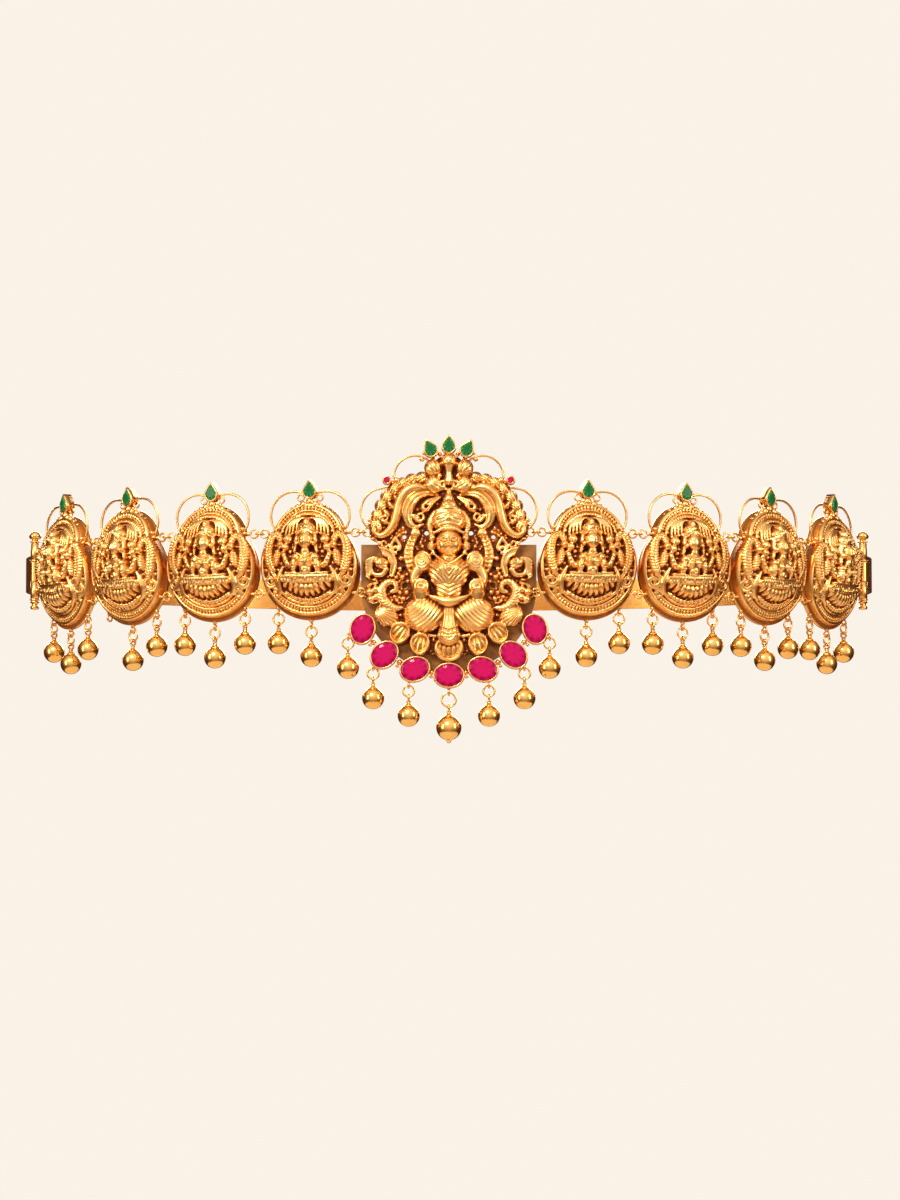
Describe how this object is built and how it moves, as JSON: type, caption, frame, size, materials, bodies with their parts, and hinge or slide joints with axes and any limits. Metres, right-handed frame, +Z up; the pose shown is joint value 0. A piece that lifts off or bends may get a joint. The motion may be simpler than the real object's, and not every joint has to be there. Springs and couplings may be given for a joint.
{
  "type": "oddiyanam waist belt",
  "caption": "Temple-jewellery waist belt: a relief centre panel and linked figured plaques with gold ball drops, closed at the back by a plain hinged band.",
  "frame": {"origin": "middle of the waist opening, halfway between the line of the front links and the back band's middle, at the height halfway between the hinge knuckles", "axes": "+X to the viewer's right across the front, +Y from the front to the back, +Z up"},
  "size_m": [0.3114, 0.2223, 0.106],
  "materials": {
    "antique_gold": "cast relief, gilt, with dark red-brown patina left in the recesses",
    "polished_gold": "satin-polished yellow gilding",
    "plate_gold": "matt brown-gold sheet",
    "ruby": "pink-magenta oval cut stone with a large table",
    "emerald": "green pear cut stone with a large table"
  },
  "bodies": {
    "root": {"centre_panel": "antique_gold", "back_plate": "plate_gold", "centre_jump_rings": "polished_gold", "clasp": "polished_gold", "ruby_1": "ruby", "centre_drop_1": "polished_gold", "ruby_2": "ruby", "centre_drop_2": "polished_gold", "ruby_3": "ruby", "centre_drop_3": "polished_gold", "ruby_4": "ruby", "centre_drop_4": "polished_gold", "ruby_5": "ruby", "centre_drop_5": "polished_gold", "ruby_6": "ruby", "centre_drop_6": "polished_gold", "ruby_7": "ruby", "centre_drop_7": "polished_gold", "crest_emerald_1": "emerald", "crest_emerald_2": "emerald", "crest_emerald_3": "emerald", "small_ruby_left": "ruby", "hinge_pin_left": "polished_gold", "band_left": "polished_gold", "plaque_left_1": "antique_gold", "emerald_left_1": "emerald", "links_left_1": "polished_gold", "drops_left_1": "polished_gold", "plaque_left_2": "antique_gold", "emerald_left_2": "emerald", "links_left_2": "polished_gold", "drops_left_2": "polished_gold", "plaque_left_3": "antique_gold", "emerald_left_3": "emerald", "links_left_3": "polished_gold", "drops_left_3": "polished_gold", "plaque_left_4": "antique_gold", "emerald_left_4": "emerald", "links_left_4": "polished_gold", "drops_left_4": "polished_gold", "small_ruby_right": "ruby", "hinge_pin_right": "polished_gold", "band_right": "polished_gold", "plaque_right_1": "antique_gold", "emerald_right_1": "emerald", "links_right_1": "polished_gold", "drops_right_1": "polished_gold", "plaque_right_2": "antique_gold", "emerald_right_2": "emerald", "links_right_2": "polished_gold", "drops_right_2": "polished_gold", "plaque_right_3": "antique_gold", "emerald_right_3": "emerald", "links_right_3": "polished_gold", "drops_right_3": "polished_gold", "plaque_right_4": "antique_gold", "emerald_right_4": "emerald", "links_right_4": "polished_gold", "drops_right_4": "polished_gold"}
  },
  "joints": []
}
